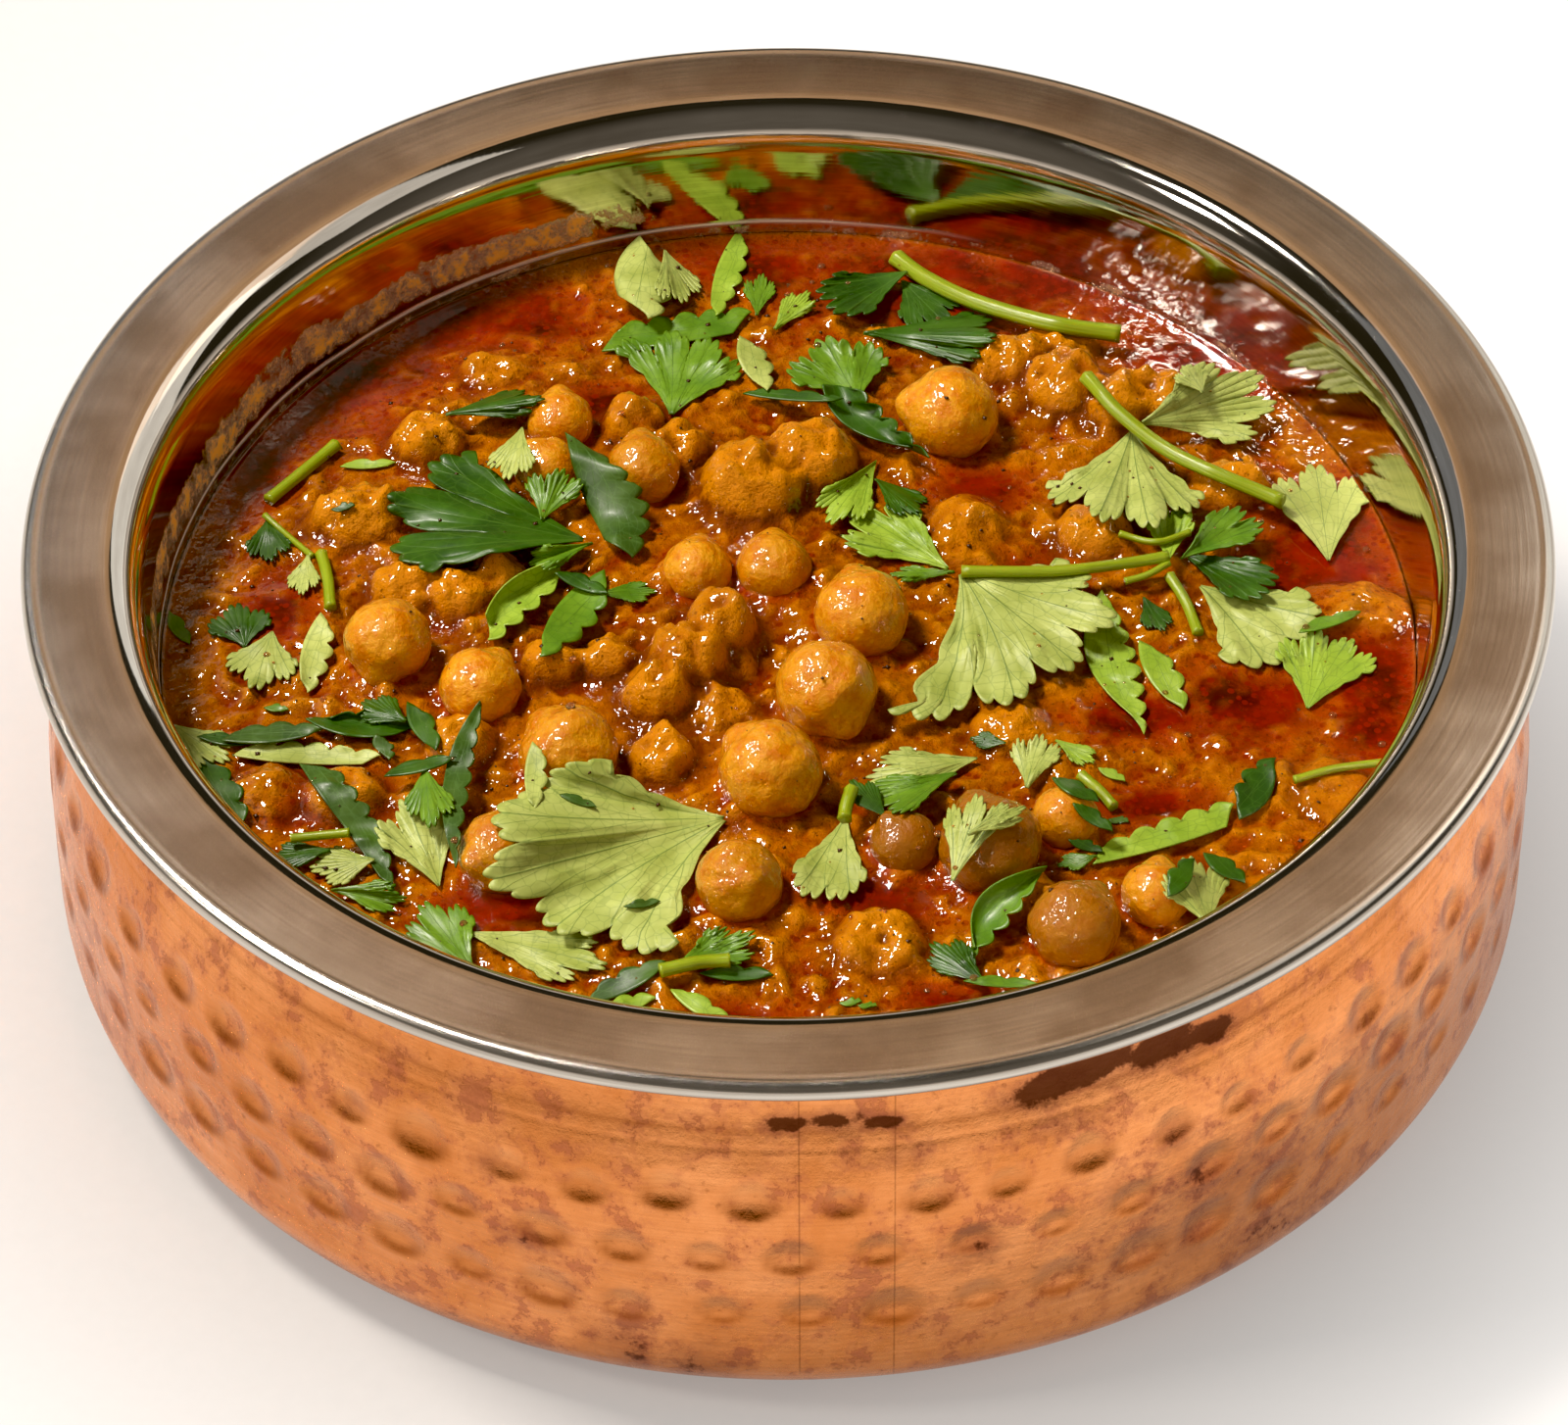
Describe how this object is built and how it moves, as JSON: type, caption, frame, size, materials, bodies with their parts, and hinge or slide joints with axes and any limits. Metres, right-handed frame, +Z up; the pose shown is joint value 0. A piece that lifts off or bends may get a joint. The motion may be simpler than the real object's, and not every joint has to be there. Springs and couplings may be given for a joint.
{
  "type": "chickpea curry in a bowl",
  "caption": "Chickpea curry with oily orange gravy and cut coriander, served in a hammered copper bowl with a flanged steel liner.",
  "frame": {"origin": "middle of the flat base that the bowl stands on", "axes": "+Z up, +Y away from the front of the dish, +X to the right seen from the front"},
  "size_m": [0.1696, 0.17, 0.053],
  "materials": {
    "hammered_copper": "hammered, satin, with brown stains",
    "polished_steel": "spun and polished, with fine scratches",
    "gravy": "glossy, oily",
    "chickpea": "glossy skin",
    "coriander_leaf": "satin",
    "coriander_stalk": "satin"
  },
  "bodies": {
    "root": {"copper_shell": "hammered_copper", "steel_liner": "polished_steel", "gravy": "gravy", "chickpea_01": "chickpea", "chickpea_02": "chickpea", "chickpea_03": "chickpea", "chickpea_04": "chickpea", "chickpea_05": "chickpea", "chickpea_06": "chickpea", "chickpea_07": "chickpea", "chickpea_08": "chickpea", "chickpea_09": "chickpea", "chickpea_10": "chickpea", "chickpea_11": "chickpea", "chickpea_12": "chickpea", "chickpea_13": "chickpea", "chickpea_14": "chickpea", "chickpea_15": "chickpea", "chickpea_16": "chickpea", "chickpea_17": "chickpea", "chickpea_18": "chickpea", "chickpea_19": "chickpea", "leaf_01": "coriander_leaf", "leaf_02": "coriander_leaf", "leaf_03": "coriander_leaf", "leaf_04": "coriander_leaf", "leaf_05": "coriander_leaf", "leaf_06": "coriander_leaf", "leaf_07": "coriander_leaf", "leaf_08": "coriander_leaf", "leaf_09": "coriander_leaf", "leaf_10": "coriander_leaf", "leaf_11": "coriander_leaf", "leaf_12": "coriander_leaf", "leaf_13": "coriander_leaf", "leaf_14": "coriander_leaf", "leaf_15": "coriander_leaf", "leaf_16": "coriander_leaf", "leaf_17": "coriander_leaf", "leaf_18": "coriander_leaf", "leaf_19": "coriander_leaf", "leaf_20": "coriander_leaf", "leaf_21": "coriander_leaf", "leaf_22": "coriander_leaf", "leaf_23": "coriander_leaf", "leaf_24": "coriander_leaf", "leaf_25": "coriander_leaf", "leaf_26": "coriander_leaf", "leaf_27": "coriander_leaf", "leaf_28": "coriander_leaf", "leaf_29": "coriander_leaf", "leaf_30": "coriander_leaf", "leaf_31": "coriander_leaf", "leaf_32": "coriander_leaf", "leaf_33": "coriander_leaf", "leaf_34": "coriander_leaf", "leaf_35": "coriander_leaf", "leaf_36": "coriander_leaf", "stalk_01": "coriander_stalk", "stalk_02": "coriander_stalk"}
  },
  "joints": []
}
